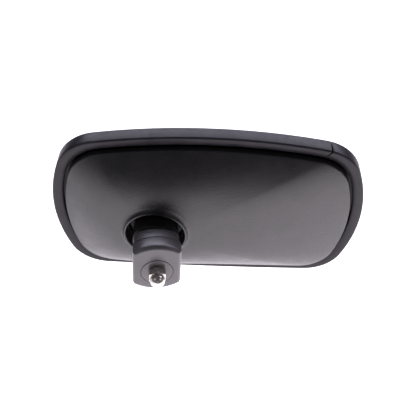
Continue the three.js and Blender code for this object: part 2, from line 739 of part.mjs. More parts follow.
function nutDisc() {
  const from = OUTER_JAW_DEPTH - DISC_RECESS_DEPTH + WASHER_THICKNESS + 2 * GAP;
  const chamfer = 0.4;
  return turned([
    [BOLT_HOLE_RADIUS, from],
    [DISC_RADIUS, from],
    [DISC_RADIUS, DISC_BACK - chamfer],
    [DISC_RADIUS - chamfer, DISC_BACK],
    [BOLT_HOLE_RADIUS, DISC_BACK],
  ]);
}

// A cap nut: a chamfered hexagon with a domed cap and a blind bore
function capNut() {
  const capFoot = NUT_SEAT + NUT_HEX_HEIGHT;
  const capTop = NUT_SEAT + NUT_HEIGHT;
  const cornerRadius = NUT_WIDTH / Math.sqrt(3);
  const chamfer = (cornerRadius - NUT_WIDTH / 2) * Math.tan(radians(30));
  const chamferCone = turned([
    [0, NUT_SEAT],
    [NUT_WIDTH / 2, NUT_SEAT],
    [cornerRadius, NUT_SEAT + chamfer],
    [cornerRadius, capFoot - chamfer],
    [NUT_WIDTH / 2, capFoot],
    [0, capFoot],
  ]);
  const straight = NUT_HEIGHT - NUT_HEX_HEIGHT - NUT_DOME_RADIUS;
  const cap = turned([
    [0, capFoot - 1],
    [NUT_DOME_RADIUS, capFoot - 1],
    ...domeArc(NUT_DOME_RADIUS, 90, 0, 6).map(([radius, y]) => [radius, capFoot + straight + y]),
  ], SMALL_ROUND_STEPS);
  const bore = cylinder(BOLT_HOLE_RADIUS, NUT_SEAT - 1, Math.min(NUT_SEAT + NUT_BORE_DEPTH, capTop - 2));
  const bar = solid(hexagon(NUT_WIDTH, NUT_SEAT, capFoot)).intersect(solid(chamferCone));
  return geometryOf(bar.add(solid(cap)).subtract(solid(bore)));
}

// Assembly

function piece(name, geometry, material, parent, place = [0, 0, 0]) {
  const mesh = new THREE.Mesh(geometry, material);
  mesh.name = name;
  mesh.position.set(...place);
  parent.add(mesh);
  return mesh;
}

const mirrorAssembly = new THREE.Group();

// The tilted head turns about the dome's centre
const head = new THREE.Group();
head.position.copy(DOME_CENTRE);
head.rotation.set(radians(HEAD_PITCH), radians(HEAD_ROLL), radians(HEAD_YAW), 'YXZ');
mirrorAssembly.add(head);

const headFrame = new THREE.Group();
headFrame.position.set(-MOUTH_X, -DOME_DEPTH, 0);
head.add(headFrame);

piece('mirror_glass', mirrorGlass(), mirror, headFrame);
piece('safety_film', safetyFilm(), film, headFrame);
piece('foam_pad', foamPad(), foam, headFrame);
piece('carrier_plate', carrierPlate(), carrierPlastic, headFrame);
piece('rubber_rim', rubberRim(), rimRubber, headFrame);
piece('rear_shell', rearShell(), shellPlastic, headFrame);
piece('swivel_dome', swivelDome(), domePlastic, headFrame);
SHELL_SCREW_PLACES.forEach(([x, z], index) => {
  const seat = screwPadBack(x, z) - SCREW_PAD_THICKNESS + SCREW_HEAD_HEIGHT + GAP;
  piece(`shell_screw_${index + 1}`, panScrew(SHELL_SCREW_LENGTH), zincSteel, headFrame, [x, seat, z]);
});
domeScrewPlaces().forEach(([x, z], index) => {
  const seat = FOOT_DEPTH + FOOT_THICKNESS + GAP;
  const screw = panScrew(DOME_SCREW_LENGTH).rotateX(Math.PI);
  piece(`dome_screw_${index + 1}`, screw, zincSteel, headFrame, [x, seat, z]);
});
piece('cup_liner', cupLiner(), linerPlastic, head);

const dome = DOME_CENTRE.toArray();
piece('seat_liner', seatLiner(), linerPlastic, mirrorAssembly, dome);
piece('pressure_cup', pressureCup(), zincSteel, mirrorAssembly, dome);
piece('disc_spring_1', discSpring(SPRING_TOPS[0], true), springSteel, mirrorAssembly, dome);
piece('disc_spring_2', discSpring(SPRING_TOPS[1], false), springSteel, mirrorAssembly, dome);
piece('clamp_bolt', clampBolt(), zincSteel, mirrorAssembly, dome);

piece('inner_clamp_jaw', innerJaw(), clampPlastic, mirrorAssembly);
piece('outer_clamp_jaw', outerJaw(), clampPlastic, mirrorAssembly);

const onBolt = [0, 0, -BOLT_BELOW_BORE];
piece('jaw_washer', jawWasher(), zincSteel, mirrorAssembly, onBolt);
piece('nut_disc', nutDisc(), clampPlastic, mirrorAssembly, onBolt);
piece('cap_nut', capNut(), stainless, mirrorAssembly, onBolt);

export default mirrorAssembly;
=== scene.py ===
"""An interior rear-view mirror seen from behind and above: its looks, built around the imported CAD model.

Shapes are worked out in millimetres, in the frame of the head, the bolt or the row, and placed in metres.
"""

import json
import math

import bmesh
import bpy
import numpy as np
from mathutils import Matrix, Vector

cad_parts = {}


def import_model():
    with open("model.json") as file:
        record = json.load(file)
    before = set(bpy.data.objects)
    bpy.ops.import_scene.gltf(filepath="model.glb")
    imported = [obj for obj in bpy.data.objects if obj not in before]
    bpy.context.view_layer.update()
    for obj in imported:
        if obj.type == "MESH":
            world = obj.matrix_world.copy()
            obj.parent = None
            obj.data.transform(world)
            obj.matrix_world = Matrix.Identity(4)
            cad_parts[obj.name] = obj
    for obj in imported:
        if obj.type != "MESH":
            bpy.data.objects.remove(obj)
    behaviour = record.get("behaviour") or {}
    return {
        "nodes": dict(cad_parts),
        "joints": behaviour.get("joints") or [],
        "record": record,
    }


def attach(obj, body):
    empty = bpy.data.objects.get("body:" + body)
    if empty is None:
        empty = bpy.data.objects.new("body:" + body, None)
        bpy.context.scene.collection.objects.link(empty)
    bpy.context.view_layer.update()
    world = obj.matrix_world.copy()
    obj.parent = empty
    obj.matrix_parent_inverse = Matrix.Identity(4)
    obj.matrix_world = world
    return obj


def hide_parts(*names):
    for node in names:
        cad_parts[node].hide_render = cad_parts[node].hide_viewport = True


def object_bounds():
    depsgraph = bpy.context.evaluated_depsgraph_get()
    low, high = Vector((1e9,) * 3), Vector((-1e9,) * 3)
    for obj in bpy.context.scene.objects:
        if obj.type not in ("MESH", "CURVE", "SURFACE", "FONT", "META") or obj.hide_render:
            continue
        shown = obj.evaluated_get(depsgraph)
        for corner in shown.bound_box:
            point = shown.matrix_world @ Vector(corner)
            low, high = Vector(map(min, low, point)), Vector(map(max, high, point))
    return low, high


MM = 0.001
GAP = 0.3

# How finely edges are rounded, and where the middle of a small rounding lies
EDGE_STEPS = 9
SECTION_STEPS = 5
ROUNDING_MIDDLE = 0.3

# Steps round a turned body and a hole. Points nearer than WELD metres are one
TURN_STEPS = 128
HOLE_STEPS = 96
WELD = 1e-7

# Shading keeps edges that are sharper than this, in degrees
SHARP = 35
NUT_SHARP = 20

# Head outline: a rounded rectangle whose four sides are shallow arcs, just inside the CAD facets
HEAD_WIDTH = 250.4
HEAD_HEIGHT = 151.25
LONG_SIDE_RADIUS = 740
SHORT_SIDE_RADIUS = 136
CORNER_RADIUS = 35
CORNER_EASE = 7
GLASS_BULGE_RADIUS = 1160
SHORT_SIDE_STEPS = 8
CORNER_STEPS = 30
LONG_SIDE_STEPS = 38

# Rubber rim
RIM_DEPTH = 12.8
RIM_WALL = 2
RIM_FRONT_LIP = 2.2
RIM_FRONT_LIP_WIDTH = 5.5
RIM_BACK_LIP = 4
RIM_BACK_LIP_WIDTH = 8.4
RIM_BACK_LIP_DROP = 1.4
RIM_ROUNDING = 1.7
RIM_FRONT_ROUNDING = 1.3
RIM_FRONT_LIP_ROUNDING = 0.8
RIM_BACK_LIP_ROUNDING = 0.6
RIM_INSIDE_ROUNDING = 0.5
RIM_SLOT_EDGE = 0.4
RIM_CROWN_STEPS = 6
RIM_JOINT_X = -88
NICK_LENGTH = 0.7
NICK_WIDTH = 3

# Near its joint the strip's section shrinks: its size, and its distance from the joint in gaps
RIM_ENDS = ((0.955, 0.5), (0.985, 1), (1, 2.5))

# Glass and shell
GLASS_THICKNESS = 3
GLASS_EDGE = 0.6
GLASS_RINGS = 14
GLASS_RING_SHRINKS = (0.05, 0.95)
GLASS_FRONT = RIM_FRONT_LIP + GAP
SHELL_FLANGE_FRONT = 6.5
SHELL_FLANGE_BACK = RIM_DEPTH - RIM_BACK_LIP - GAP
WALL_INSET = 11
WALL_STRETCH = 1.03
WALL_TOP = 16
WALL_ROUNDING = 1.2
SLOPE_POWER = 1.75
SLOPE_STEPS = 40
SHELL_THICKNESS = 2.2
MOUTH_X = 40.4
MOUTH_RADIUS = 23.3
MOUTH_DEPTH = 46
MOUTH_EDGE = 1.8
FLARE_RADIUS = 3.6
FLARE_TURN = 80
COLLAR_DEPTH = 33
COLLAR_TAPER = 0.9

# Swivel dome
DOME_DEPTH = 49
DOME_RADIUS = 17.5
DOME_THICKNESS = 2.5
DOME_OPENING_ANGLE = 35
DOME_STEPS = 40
DOME_INSIDE_STEPS = 30
POST_STEP_DEPTH = 30
POST_STEP_RADIUS = 21.7
POST_BODY_RADIUS = 24
POST_WALL = 2
RING_WIDTH = 1
RING_HEIGHT = 1.6
RING_CHAMFER = 0.2
FOOT_RADIUS = 33
FOOT_DEPTH = 13.3
FOOT_THICKNESS = 3
DOME_SCREW_CIRCLE = 28.3
DOME_SCREW_ANGLES = (45, 135, 225, 315)
SCREW_RADIUS = 1.75
SCREW_HOLE_STEPS = 32

# Clamp jaws and nut side
OUTER_JAW_HALF_WIDTH = 17.9
INNER_JAW_HALF_WIDTH = 16.7
ARM_BORE_RADIUS = 6
JAW_TOP = 11.5
JAW_BOTTOM = -32.5
JAW_ARC_RADIUS = 30
INNER_JAW_DEPTH = 9.5
OUTER_JAW_DEPTH = 11.8
JAW_FILLET = 3.3
JAW_BACK_ROUNDING = 2
JAW_TOP_CORNER = 1.2
JAW_BOTTOM_CORNER = 3.5
JAW_LEAST_CORNER = 0.4
JAW_CORNER_STEPS = 10
JAW_ARC_STEPS = 20
SEAM_CHAMFER = 0.3
SEAT_RADIUS = 19.1
SEAT_STEPS = 60
PEG_X = 11.5
PEG_Z = -24
PEG_RADIUS = 2
PEG_HEIGHT = 4.5
PEG_ROOT = 1
PEG_STEPS = 48
BOLT_HOLE_RADIUS = 4.3
BOLT_CUT_REACH = 30
DISC_RADIUS = 11.9
DISC_RECESS_DEPTH = 6
DISC_PROUD = 0.3
DISC_THICKNESS = 3.9
DISC_FRONT_EDGE = 0.3
DISC_BACK_EDGE = 0.5
DISC_HOLE_EDGE = 0.2
NUT_WIDTH = 12
NUT_HEX_HEIGHT = 6
NUT_HEIGHT = 13.5
NUT_DOME_RADIUS = 5.6
NUT_DOME_STEPS = 30
NUT_BORE_DEPTH = 10.5
NUT_CHAMFER_ANGLE = 30
NUT_SHOULDER = 0.15
CAP_NECK_INSET = 0.1
CAP_NECK_HEIGHT = 0.1
CAP_NECK_END = 0.4

# Cutting tools go past the faces that they cut: by a little, or well past
SLIVER = 0.01
PAST = 1

# Head pose on the dome, degrees
HEAD_ROLL = 3
HEAD_PITCH = -6
HEAD_YAW = -7.7

# Camera, at the photograph's viewing angle
CAMERA_AZIMUTH = 170.61
CAMERA_ELEVATION = 40.1
CAMERA_ROLL = -4.84
CAMERA_DISTANCE = 0.5
CAMERA_TARGET = (-0.0424, -0.0382, 0.0052)
CAMERA_LENS = 54.71
CAMERA_SENSOR = 36
CAMERA_NEAR = 0.01

# Light
FLOOR_HALF = 3.0
FLOOR_DROP = 0.25
FLOOR_TINT = (1, 0.93, 0.97)
FLOOR_LIGHT = 2.8
FLOOR_LIGHT_BEHIND = 0.75
FLOOR_LIGHT_WAY = (-0.3, 0.95, 0)
FLOOR_LIGHT_START = -0.45
FLOOR_LIGHT_END = 0.5
ROOM_LOW = (0.045, 0.045, 0.052)
ROOM_HIGH = (0.06, 0.057, 0.06)
ROOM_LOW_AT = 0.3
ROOM_HIGH_AT = 0.75
BACKDROP = (0.93, 0.93, 0.94)
LAVENDER = (0.86, 0.84, 1.0)
NEARLY_WHITE = (1.0, 1.0, 0.97)

# Painted shade in narrow gaps: near-black colour and dimmed shine where ambient occlusion finds them
PAINTED_SHADE = (0.003, 0.003, 0.003)
PAINTED_SHADE_SHINE = 0.04
PAINTED_SHADE_FROM = 0.35
PAINTED_SHADE_TO = 0.7
PAINTED_SHADE_SAMPLES = 8

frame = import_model()
cad_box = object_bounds()
joints = {joint["name"]: joint for joint in frame["joints"]}
slots = {sub["node"]: sub["material_slot"] for sub in frame["record"]["subparts"]}
dome_centre = Vector(joints["head_roll"]["pos_m"])

head_to_row = (
    Matrix.Translation(dome_centre)
    @ Matrix.Rotation(math.radians(HEAD_ROLL), 4, "Y")
    @ Matrix.Rotation(math.radians(HEAD_PITCH), 4, "X")
    @ Matrix.Rotation(math.radians(HEAD_YAW), 4, "Z")
    @ Matrix.Translation(Vector((-MOUTH_X, -DOME_DEPTH, 0)) * MM)
    @ Matrix.Scale(MM, 4)
)
row_scale = Matrix.Scale(MM, 4)
on_bolt = Matrix.Translation(Vector(joints["nut_turn"]["pos_m"])) @ row_scale
on_dome = Matrix.Translation(dome_centre) @ row_scale


# Curves and rings

def arc(centre, radius, start, end, steps):
    """Points on an arc, its first end included and its last end left out."""
    angles = start + (end - start) * np.arange(steps) / steps
    return np.stack([centre[0] + radius * np.cos(angles), centre[1] + radius * np.sin(angles)], axis=1)


def circles_meet(first, first_radius, second, second_radius):
    """Where two circles meet, to the left of the way from the first centre to the second."""
    way = second - first
    apart = np.linalg.norm(way)
    along = (first_radius ** 2 - second_radius ** 2 + apart ** 2) / (2 * apart)
    across = math.sqrt(first_radius ** 2 - along ** 2)
    unit = way / apart
    return first + along * unit + across * np.array((-unit[1], unit[0]))


def mirrored(quarter):
    """A whole outline from its quarter, which runs from the first axis to the second."""
    second = (quarter * (-1, 1))[::-1]
    return np.concatenate([quarter[:-1], second[:-1], -quarter[:-1], -second[:-1]])


def head_outline(inset):
    """The head's outline moved inwards, always with the same number of points."""
    half_width = HEAD_WIDTH / 2 - inset
    half_height = HEAD_HEIGHT / 2 - inset
    long_radius = LONG_SIDE_RADIUS - inset
    short_radius = SHORT_SIDE_RADIUS - inset
    corner_radius = CORNER_RADIUS - inset + CORNER_EASE * min(1, inset / RIM_BACK_LIP_WIDTH)
    long_centre = np.array((0, half_height - long_radius))
    short_centre = np.array((half_width - short_radius, 0))
    corner = circles_meet(
        short_centre, short_radius - corner_radius,
        long_centre, long_radius - corner_radius,
    )
    short_end = math.atan2(*(corner - short_centre)[::-1])
    long_start = math.atan2(*(corner - long_centre)[::-1])
    return mirrored(np.concatenate([
        arc(short_centre, short_radius, 0, short_end, SHORT_SIDE_STEPS),
        arc(corner, corner_radius, short_end, long_start, CORNER_STEPS),
        arc(long_centre, long_radius, long_start, math.pi / 2, LONG_SIDE_STEPS),
        [(0, half_height)],
    ]))


def bulge(x, z):
    return (x * x + z * z) / (2 * GLASS_BULGE_RADIUS)


def head_ring(inset, depth, shrink=1.0, stretch=1.0):
    """A ring of the head, at a depth behind the bulged front surface, shrunk or made taller."""
    x, z = (head_outline(inset) * (shrink, shrink * stretch)).T
    return np.stack([x, depth + bulge(x, z), z], axis=1)


def mouth_ring(radius, depth):
    """A level ring round the mouth's axis, each point on the way to the head's outline."""
    way = head_outline(WALL_INSET) - (MOUTH_X, 0)
    way /= np.linalg.norm(way, axis=1)[:, None]
    x = MOUTH_X + way[:, 0] * radius
    return np.stack([x, np.full(len(way), float(depth)), way[:, 1] * radius], axis=1)


def rounded(corners):
    """A closed section through (a, b, radius) corners, each corner rounded by its radius."""
    section = []
    for index, (a, b, radius) in enumerate(corners):
        here = np.array((a, b), float)
        if radius == 0:
            section.append(here)
            continue
        before = np.array(corners[index - 1][:2]) - here
        after = np.array(corners[(index + 1) % len(corners)][:2]) - here
        before /= np.linalg.norm(before)
        after /= np.linalg.norm(after)
        half = math.acos(np.clip(before @ after, -1, 1)) / 2
        middle = (before + after) / np.linalg.norm(before + after) * radius / math.sin(half)
        first = before * radius / math.tan(half) - middle
        last = after * radius / math.tan(half) - middle
        turn = math.pi - 2 * half
        for step in range(SECTION_STEPS + 1):
            share = step / SECTION_STEPS
            spoke = math.sin((1 - share) * turn) * first + math.sin(share * turn) * last
            section.append(here + middle + spoke / math.sin(turn))
    return section


# Meshes

def piece(name, points, faces, place):
    """A new object with smooth shading that keeps sharp edges, facing out."""
    mesh = bpy.data.meshes.new(name)
    mesh.from_pydata([place @ Vector(point) for point in points], [], faces)
    return finished(bpy.data.objects.new(name, mesh), SHARP)


def finished(thing, sharp):
    """Welds and smooths a piece's mesh, turns its faces outwards and puts it in the scene."""
    mesh = thing.data
    edit = bmesh.new()
    edit.from_mesh(mesh)
    bmesh.ops.remove_doubles(edit, verts=edit.verts, dist=WELD)
    bmesh.ops.dissolve_degenerate(edit, edges=edit.edges, dist=WELD)
    bmesh.ops.recalc_face_normals(edit, faces=edit.faces)
    edit.to_mesh(mesh)
    edit.free()
    mesh.shade_smooth()
    mesh.set_sharp_from_angle(angle=math.radians(sharp))
    if thing.name not in bpy.context.scene.collection.objects:
        bpy.context.scene.collection.objects.link(thing)
    return thing


def loft(name, rings, place, closed=True):
    """A closed body over rings. The last ring joins the first, or else both end rings get a cap."""
    count = len(rings[0])
    points = np.concatenate(rings)
    faces = []
    for ring in range(len(rings) if closed else len(rings) - 1):
        near = ring * count
        far = (ring + 1) % len(rings) * count
        for step in range(count):
            after = (step + 1) % count
            faces.append((near + step, near + after, far + after, far + step))
    if not closed:
        faces.append(tuple(range(count)))
        faces.append(tuple(range(len(points) - count, len(points))))
    return piece(name, points, faces, place)


def turned(name, section, place, steps=TURN_STEPS):
    """A body turned about the Y axis from its closed section of (radius, y) points."""
    angles = 2 * math.pi * np.arange(steps) / steps
    rings = [
        np.stack([radius * np.cos(angles), np.full(steps, float(y)), radius * np.sin(angles)], axis=1)
        for radius, y in section
    ]
    return loft(name, rings, place)


def dome_arc(radius, start, end, steps):
    """Section points on a circle about the origin, in degrees away from the +Y axis."""
    angles = np.radians(np.linspace(start, end, steps + 1))
    return list(zip(radius * np.sin(angles), radius * np.cos(angles)))


def cylinder(radius, start, end, place, steps=HOLE_STEPS):
    return turned("tool", [(0, start), (radius, start), (radius, end), (0, end)], place, steps)


def combine(thing, tools, operation="DIFFERENCE", sharp=SHARP):
    """Cuts, joins or crosses a piece with tool objects, which are used up."""
    for tool in tools:
        change = thing.modifiers.new(operation.lower(), "BOOLEAN")
        change.operation = operation
        change.solver = "EXACT"
        change.object = tool
    bpy.context.view_layer.update()
    result = thing.evaluated_get(bpy.context.evaluated_depsgraph_get())
    mesh = bpy.data.meshes.new_from_object(result)
    thing.modifiers.clear()
    thing.data = mesh
    for tool in tools:
        bpy.data.objects.remove(tool)
    return finished(thing, sharp)


# Head pieces

def convex_glass():
    """The bulged glass, with its rim ground round."""
    inset = RIM_WALL + GAP
    front = GLASS_FRONT
    back = GLASS_FRONT + GLASS_THICKNESS
    edge = GLASS_EDGE
    shrinks = np.linspace(*GLASS_RING_SHRINKS, GLASS_RINGS)
    rings = [head_ring(inset, front, shrink) for shrink in shrinks]
    middle = edge * ROUNDING_MIDDLE
    rings += [head_ring(inset + edge, front), head_ring(inset + middle, front + middle)]
    rings += [head_ring(inset, front + edge), head_ring(inset, back - edge)]
    rings += [head_ring(inset + middle, back - middle), head_ring(inset + edge, back)]
    rings += [head_ring(inset, back, shrink) for shrink in shrinks[::-1]]
    return loft("convex_glass", rings, head_to_row, closed=False)


def rubber_rim():
    """A U-section strip round the head with a crowned back lip and a nicked butt joint."""
    crown_start = RIM_ROUNDING * 2
    crown = []
    for share in np.linspace(0, 1, RIM_CROWN_STEPS + 2)[1:-1]:
        inset = crown_start + share * (RIM_BACK_LIP_WIDTH - crown_start)
        crown.append((inset, RIM_DEPTH - RIM_BACK_LIP_DROP * share ** 2, 0))
    section = rounded([
        (RIM_FRONT_LIP_WIDTH, 0, RIM_FRONT_LIP_ROUNDING),
        (0, 0, RIM_FRONT_ROUNDING),
        (0, RIM_DEPTH, RIM_ROUNDING),
        *crown,
        (RIM_BACK_LIP_WIDTH, RIM_DEPTH - RIM_BACK_LIP_DROP, RIM_BACK_LIP_ROUNDING),
        (RIM_BACK_LIP_WIDTH, RIM_DEPTH - RIM_BACK_LIP, RIM_SLOT_EDGE),
        (RIM_WALL, RIM_DEPTH - RIM_BACK_LIP, RIM_INSIDE_ROUNDING),
        (RIM_WALL, RIM_FRONT_LIP, RIM_INSIDE_ROUNDING),
        (RIM_FRONT_LIP_WIDTH, RIM_FRONT_LIP, RIM_INSIDE_ROUNDING),
    ])
    lines = np.array([head_ring(inset, depth) for inset, depth in section])
    nick = np.array([
        NICK_LENGTH * math.exp(-(inset ** 2 + (depth - RIM_DEPTH + RIM_ROUNDING) ** 2) / NICK_WIDTH ** 2)
        for inset, depth in section
    ])[:, None]
    count = lines.shape[1]
    outline = lines[0]
    joint = int(np.argmin(np.abs(outline[:, 0] - RIM_JOINT_X) + (outline[:, 2] < 0) * HEAD_WIDTH))
    order = (joint + np.arange(count + 1)) % count
    rings = [lines[:, index] for index in order]
    spacing = np.linalg.norm(rings[1] - rings[0], axis=1).mean()
    ends = []
    for end, inner in ((rings[0], rings[1]), (rings[-1], rings[-2])):
        middle = end.mean(axis=0)
        way = (inner - end) / spacing
        ends.append([middle + (end - middle) * size + way * (GAP * gaps + nick) for size, gaps in RIM_ENDS])
    rings = [*ends[0], *rings[1:-1], *ends[1][::-1]]
    return loft("rubber_edging", rings, head_to_row, closed=False)


def shell_skin(offset):
    """Rings of the shell's skin, moved inwards by an offset, from the side wall's foot to the mouth."""
    inset = WALL_INSET + offset
    rings = [head_ring(inset, SHELL_FLANGE_BACK, stretch=WALL_STRETCH)]
    wall = head_ring(inset, WALL_TOP - offset, stretch=WALL_STRETCH)
    flare_foot = mouth_ring(MOUTH_RADIUS + MOUTH_EDGE + FLARE_RADIUS, MOUTH_DEPTH - FLARE_RADIUS - offset)
    across = (flare_foot - wall) * (1, 0, 1)
    run = np.linalg.norm(across, axis=1)[:, None]
    turn = math.pi / 2 - np.arctan(SLOPE_POWER * (flare_foot - wall)[:, 1:2] / run)
    for share in np.linspace(0, 1, EDGE_STEPS):
        inwards = across / run * WALL_ROUNDING * (1 - np.cos(turn * share))
        rings.append(wall + inwards + WALL_ROUNDING * np.sin(turn * share) * (0, 1, 0))
    edge = rings[-1]
    for share in np.linspace(0, 1, SLOPE_STEPS + 1)[1:]:
        climb = 1 - (1 - share) ** SLOPE_POWER
        rings.append(edge + (flare_foot - edge) * (share, climb, share))
    return rings


def rear_shell():
    """The textured shell with its flared mouth and the collar inside it."""
    edge = MOUTH_RADIUS + MOUTH_EDGE
    flare = [
        mouth_ring(edge + FLARE_RADIUS * (1 - math.sin(turn)), MOUTH_DEPTH - FLARE_RADIUS * math.cos(turn))
        for turn in np.radians(np.linspace(0, FLARE_TURN, EDGE_STEPS))[1:]
    ]
    half_edge = MOUTH_EDGE / 2
    lip = [
        mouth_ring(edge - half_edge * (1 - math.cos(turn)), MOUTH_DEPTH - half_edge * (1 - math.sin(turn)))
        for turn in np.radians(np.linspace(0, 180, EDGE_STEPS))
    ]
    collar_outside = edge - COLLAR_TAPER + SHELL_THICKNESS / 2
    rings = [
        head_ring(RIM_WALL + GAP, SHELL_FLANGE_FRONT),
        head_ring(RIM_WALL + GAP, SHELL_FLANGE_BACK),
        *shell_skin(0),
        *flare,
        *lip,
        mouth_ring(MOUTH_RADIUS - COLLAR_TAPER, COLLAR_DEPTH),
        mouth_ring(collar_outside, COLLAR_DEPTH),
        *shell_skin(SHELL_THICKNESS)[::-1],
        head_ring(WALL_INSET + SHELL_THICKNESS, SHELL_FLANGE_FRONT, stretch=WALL_STRETCH),
    ]
    return loft("back_shell", rings, head_to_row)


def swivel_dome():
    """The hollow gloss dome on its stepped post and screwed foot."""
    step = POST_STEP_DEPTH - DOME_DEPTH
    foot = FOOT_DEPTH - DOME_DEPTH
    inside = DOME_RADIUS - DOME_THICKNESS
    section = [
        *dome_arc(DOME_RADIUS, DOME_OPENING_ANGLE, 90, DOME_STEPS),
        (DOME_RADIUS, step),
        (POST_STEP_RADIUS - RING_WIDTH, step),
        (POST_STEP_RADIUS - RING_WIDTH, step + RING_HEIGHT - RING_CHAMFER),
        (POST_STEP_RADIUS - RING_WIDTH + RING_CHAMFER, step + RING_HEIGHT),
        (POST_STEP_RADIUS - RING_CHAMFER, step + RING_HEIGHT),
        (POST_STEP_RADIUS, step + RING_HEIGHT - RING_CHAMFER),
        (POST_STEP_RADIUS, step - POST_WALL),
        (POST_BODY_RADIUS, step - POST_WALL),
        (POST_BODY_RADIUS, foot + FOOT_THICKNESS),
        (FOOT_RADIUS, foot + FOOT_THICKNESS),
        (FOOT_RADIUS, foot),
        (POST_BODY_RADIUS - POST_WALL, foot),
        (POST_BODY_RADIUS - POST_WALL, step - 2 * POST_WALL),
        (inside + POST_WALL, step - 2 * POST_WALL),
        (inside + POST_WALL, foot),
        (inside, foot),
        *dome_arc(inside, 90, DOME_OPENING_ANGLE, DOME_INSIDE_STEPS),
    ]
    at_mouth = head_to_row @ Matrix.Translation((MOUTH_X, DOME_DEPTH, 0))
    dome = turned("ball_dome", section, at_mouth)
    holes = []
    for angle in np.radians(DOME_SCREW_ANGLES):
        way = Vector((math.cos(angle), 0, math.sin(angle))) * DOME_SCREW_CIRCLE
        place = at_mouth @ Matrix.Translation(way)
        end = foot + FOOT_THICKNESS + PAST
        holes.append(cylinder(SCREW_RADIUS + GAP, foot - PAST, end, place, SCREW_HOLE_STEPS))
    return combine(dome, holes)


# Clamp pieces

def jaw_outline(half_width, inset):
    """The jaws' outline moved inwards: arched top and bottom, straight sides, round corners."""
    side = half_width - inset
    radius = JAW_ARC_RADIUS - inset

    def corner(end, round_radius, up):
        centre = np.array((0, end - up * radius))
        round_x = side - round_radius
        round_z = centre[1] + up * math.sqrt((radius - round_radius) ** 2 - round_x ** 2)
        meet = math.atan2(up * (round_z - centre[1]), round_x)
        return np.concatenate([
            arc((round_x, round_z), round_radius, 0, up * meet, JAW_CORNER_STEPS),
            arc(centre, radius, up * meet, up * math.pi / 2, JAW_ARC_STEPS),
            [(0, end)],
        ])

    top = corner(JAW_TOP - inset, max(JAW_TOP_CORNER, inset + JAW_LEAST_CORNER) - inset, 1)
    bottom = corner(JAW_BOTTOM + inset, max(JAW_BOTTOM_CORNER - inset, JAW_LEAST_CORNER), -1)
    return np.concatenate([top[:-1], (top * (-1, 1))[::-1], (bottom * (-1, 1))[:-1], bottom[::-1]])


def jaw_block(name, half_width, levels):
    rings = []
    for y, inset in levels:
        x, z = jaw_outline(half_width, inset).T
        rings.append(np.stack([x, np.full(len(x), y), z], axis=1))
    return loft(name, rings, row_scale, closed=False)


def quarter_round(y, radius, way):
    """Levels of an edge rounding that ends at y, going towards +Y (way 1) or from -Y (way -1)."""
    turns = np.radians(np.linspace(0, 90, EDGE_STEPS))
    levels = [(y - way * radius * (1 - math.sin(turn)), radius * (1 - math.cos(turn))) for turn in turns]
    return levels if way > 0 else levels[::-1]


def arm_bore():
    along_x = row_scale @ Matrix.Rotation(math.pi / 2, 4, "Z")
    return cylinder(ARM_BORE_RADIUS, -2 * OUTER_JAW_HALF_WIDTH, 2 * OUTER_JAW_HALF_WIDTH, along_x)


def bolt_hole():
    return cylinder(BOLT_HOLE_RADIUS, -BOLT_CUT_REACH, BOLT_CUT_REACH, on_bolt)


def pegs(radius, end):
    return [
        cylinder(radius, -PEG_ROOT, end, row_scale @ Matrix.Translation((x, 0, PEG_Z)), PEG_STEPS)
        for x in (-PEG_X, PEG_X)
    ]


def inner_jaw():
    head_side = quarter_round(-INNER_JAW_DEPTH, JAW_BACK_ROUNDING, -1)
    seam = quarter_round(-GAP / 2, SEAM_CHAMFER, 1)
    block = jaw_block("inner_jaw", INNER_JAW_HALF_WIDTH, head_side + seam)
    block = combine(block, pegs(PEG_RADIUS, PEG_HEIGHT), "UNION")
    half_circle = dome_arc(SEAT_RADIUS, 180, 0, SEAT_STEPS)[1:-1]
    seat = turned("tool", [(0, -SEAT_RADIUS), *half_circle, (0, SEAT_RADIUS)], on_dome)
    return combine(block, [seat, arm_bore(), bolt_hole()])


def outer_jaw():
    seam = quarter_round(GAP / 2, SEAM_CHAMFER, -1)
    nut_side = quarter_round(OUTER_JAW_DEPTH, JAW_FILLET, 1)
    block = jaw_block("outer_jaw", OUTER_JAW_HALF_WIDTH, seam + nut_side)
    recess_floor = OUTER_JAW_DEPTH - DISC_RECESS_DEPTH
    recess = cylinder(DISC_RADIUS + GAP, recess_floor, OUTER_JAW_DEPTH + PAST, on_bolt, TURN_STEPS)
    return combine(block, [arm_bore(), bolt_hole(), recess, *pegs(PEG_RADIUS + GAP, PEG_HEIGHT + GAP)])


def nut_disc():
    back = OUTER_JAW_DEPTH + DISC_PROUD
    section = rounded([
        (BOLT_HOLE_RADIUS, back - DISC_THICKNESS, 0),
        (DISC_RADIUS, back - DISC_THICKNESS, DISC_FRONT_EDGE),
        (DISC_RADIUS, back, DISC_BACK_EDGE),
        (BOLT_HOLE_RADIUS, back, DISC_HOLE_EDGE),
    ])
    return turned("nut_cover_disc", section, on_bolt)


